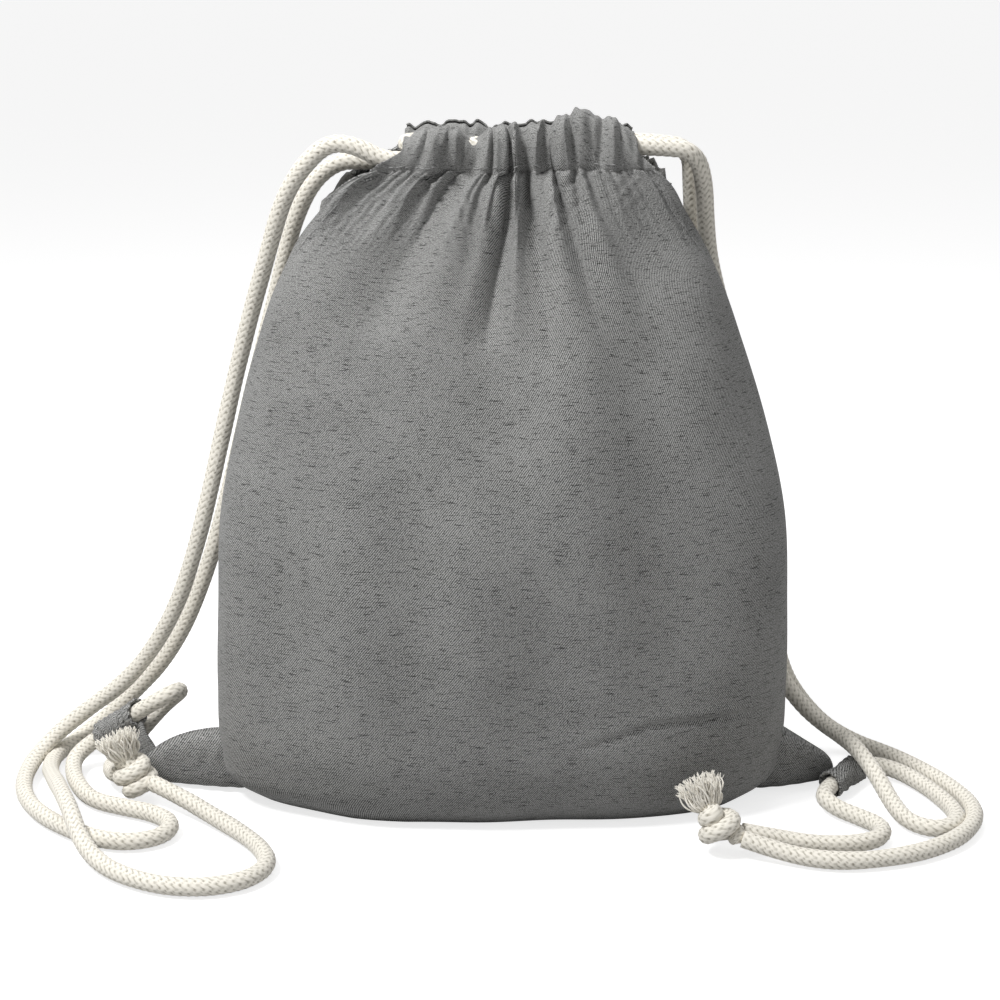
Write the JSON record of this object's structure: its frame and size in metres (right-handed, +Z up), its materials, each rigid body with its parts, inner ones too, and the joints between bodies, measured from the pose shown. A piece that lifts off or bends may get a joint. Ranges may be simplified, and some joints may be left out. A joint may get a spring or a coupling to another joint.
{
  "type": "drawstring backpack",
  "caption": "Drawstring backpack of grey chambray canvas, standing full, its mouth gathered on thick cotton cords that run to knotted corner tabs and lie in loops on the floor.",
  "frame": {"origin": "on the floor, midway between the bag's two side seams and between its two panels, where it stands on its bottom seam", "axes": "-Y is the front of the bag, +Z is up along its height, +X is to the right when the front is seen"},
  "size_m": [0.5183, 0.2204, 0.3571],
  "materials": {
    "canvas": "grey melange twill canvas with dark slubs, matt",
    "cord": "natural cotton cord, coarse braid, matt",
    "frayed_cord": "loose cotton yarn ends, matt"
  },
  "bodies": {
    "bag": {"front_panel": "canvas", "back_panel": "canvas", "back_channel": "canvas", "front_hem_allowance": "canvas", "back_hem_allowance": "canvas", "left_side_seam": "canvas", "right_side_seam": "canvas", "bottom_seam": "canvas", "front_left_slit_hem": "canvas", "front_right_slit_hem": "canvas", "back_left_slit_hem": "canvas", "back_right_slit_hem": "canvas", "left_corner_tab": "canvas", "right_corner_tab": "canvas", "left_drawcord": "cord", "right_drawcord": "cord", "left_knot": "cord", "right_knot": "cord", "left_tassel": "frayed_cord", "right_tassel": "frayed_cord"},
    "front_rim": {"front_channel": "canvas"}
  },
  "joints": [
    {"name": "mouth_open", "type": "hinge", "parent": "bag", "child": "front_rim", "pos_m": [0.01, -0.04, 0.285], "axis": [1, 0, 0], "range_deg": [0, 24], "deforming": ["front_panel", "left_drawcord", "right_drawcord", "front_hem_allowance", "front_left_slit_hem", "front_right_slit_hem"]}
  ]
}
